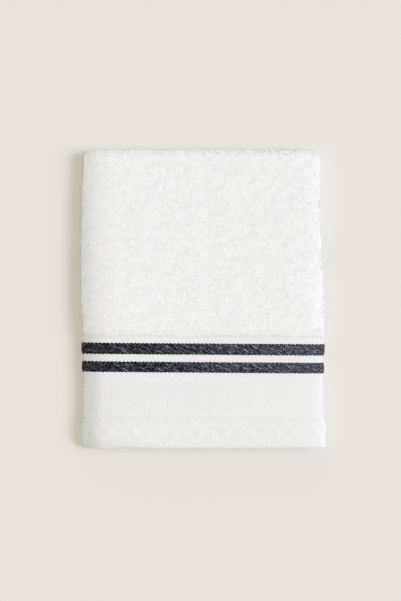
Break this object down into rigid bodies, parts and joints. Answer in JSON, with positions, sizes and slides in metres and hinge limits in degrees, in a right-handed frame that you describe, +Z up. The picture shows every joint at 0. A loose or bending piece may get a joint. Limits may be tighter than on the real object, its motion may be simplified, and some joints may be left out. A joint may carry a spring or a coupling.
{
  "type": "folded hand towel",
  "caption": "White terry hand towel with navy border stripes and a turned hem, its sides folded in and then folded in three for a shelf.",
  "frame": {"origin": "middle of the flat underside, on the surface that the folded towel rests on", "axes": "+X to the right across the folded towel, +Y along it from the hem that shows to the back fold, +Z up through the layers"},
  "size_m": [0.2544, 0.3106, 0.0239],
  "materials": {
    "terry_cotton": "soft white looped cotton with a flat woven border and navy stripes"
  },
  "bodies": {
    "root": {"towel": "terry_cotton"}
  },
  "joints": []
}
